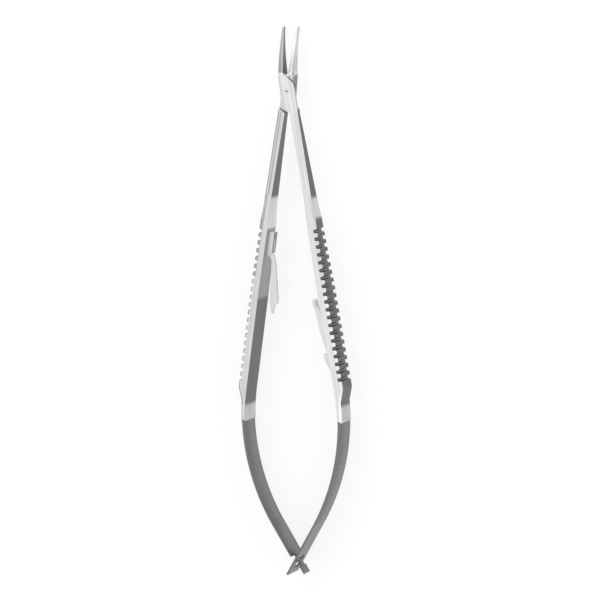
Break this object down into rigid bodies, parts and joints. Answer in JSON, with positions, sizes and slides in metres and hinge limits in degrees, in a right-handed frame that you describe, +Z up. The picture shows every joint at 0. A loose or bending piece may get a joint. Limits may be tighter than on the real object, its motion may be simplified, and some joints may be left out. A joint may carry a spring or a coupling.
{
  "type": "surgical needle holder",
  "caption": "Spring-handled micro needle holder with crossing action: fine curved jaws, lap joint, grooved flat grips, a thin plate lock and leaf springs hooked together at the tail.",
  "frame": {"origin": "centre of the footprint on the table, with the instrument lying on its side", "axes": "+Z up out of the table, +Y towards the jaws, +X towards the right handle; the handles open in the XY plane"},
  "size_m": [0.0284, 0.1408, 0.008],
  "materials": {
    "satin_steel": "satin ground stainless steel",
    "polished_steel": "polished stainless steel",
    "spring_steel": "satin rolled spring steel",
    "hard_face": "dull grey hard metal with a fine tooth"
  },
  "bodies": {
    "left_arm": {"left_arm": "satin_steel", "right_jaw_face": "hard_face", "catch_block": "satin_steel", "catch_plate": "polished_steel", "catch_pin": "polished_steel", "catch_rivets": "satin_steel"},
    "right_arm": {"right_arm": "satin_steel", "left_jaw_face": "hard_face", "pivot_screw": "polished_steel", "latch_block": "satin_steel", "latch_pin": "polished_steel", "latch_rivets": "satin_steel"},
    "left_spring": {"left_spring": "spring_steel"},
    "right_spring": {"right_spring": "spring_steel"},
    "latch": {"latch_plate": "polished_steel"}
  },
  "joints": [
    {"name": "arm_pivot", "type": "hinge", "parent": "left_arm", "child": "right_arm", "pos_m": [0, 0.05411, 0.004], "axis": [0, 0, -1], "range_deg": [0, 11.8], "stiffness_Nm_per_rad": 1},
    {"name": "left_spring_flex", "type": "hinge", "parent": "left_arm", "child": "left_spring", "pos_m": [-0.01307, -0.03066, 0.004], "axis": [0, 0, -1], "range_deg": [0, 19.4]},
    {"name": "right_spring_flex", "type": "hinge", "parent": "right_arm", "child": "right_spring", "pos_m": [0.01307, -0.03066, 0.004], "axis": [0, 0, 1], "range_deg": [0, 19.4]},
    {"name": "latch_flex", "type": "hinge", "parent": "right_arm", "child": "latch", "pos_m": [0.00987, -0.01524, 0.00295], "axis": [0.9878, 0.1556, 0], "range_deg": [-2, 1.6], "stiffness_Nm_per_rad": 0.05}
  ],
  "couplings": [
    {"joint": "left_spring_flex", "follows": "arm_pivot", "ratio": 1.641},
    {"joint": "right_spring_flex", "follows": "arm_pivot", "ratio": 1.641}
  ]
}
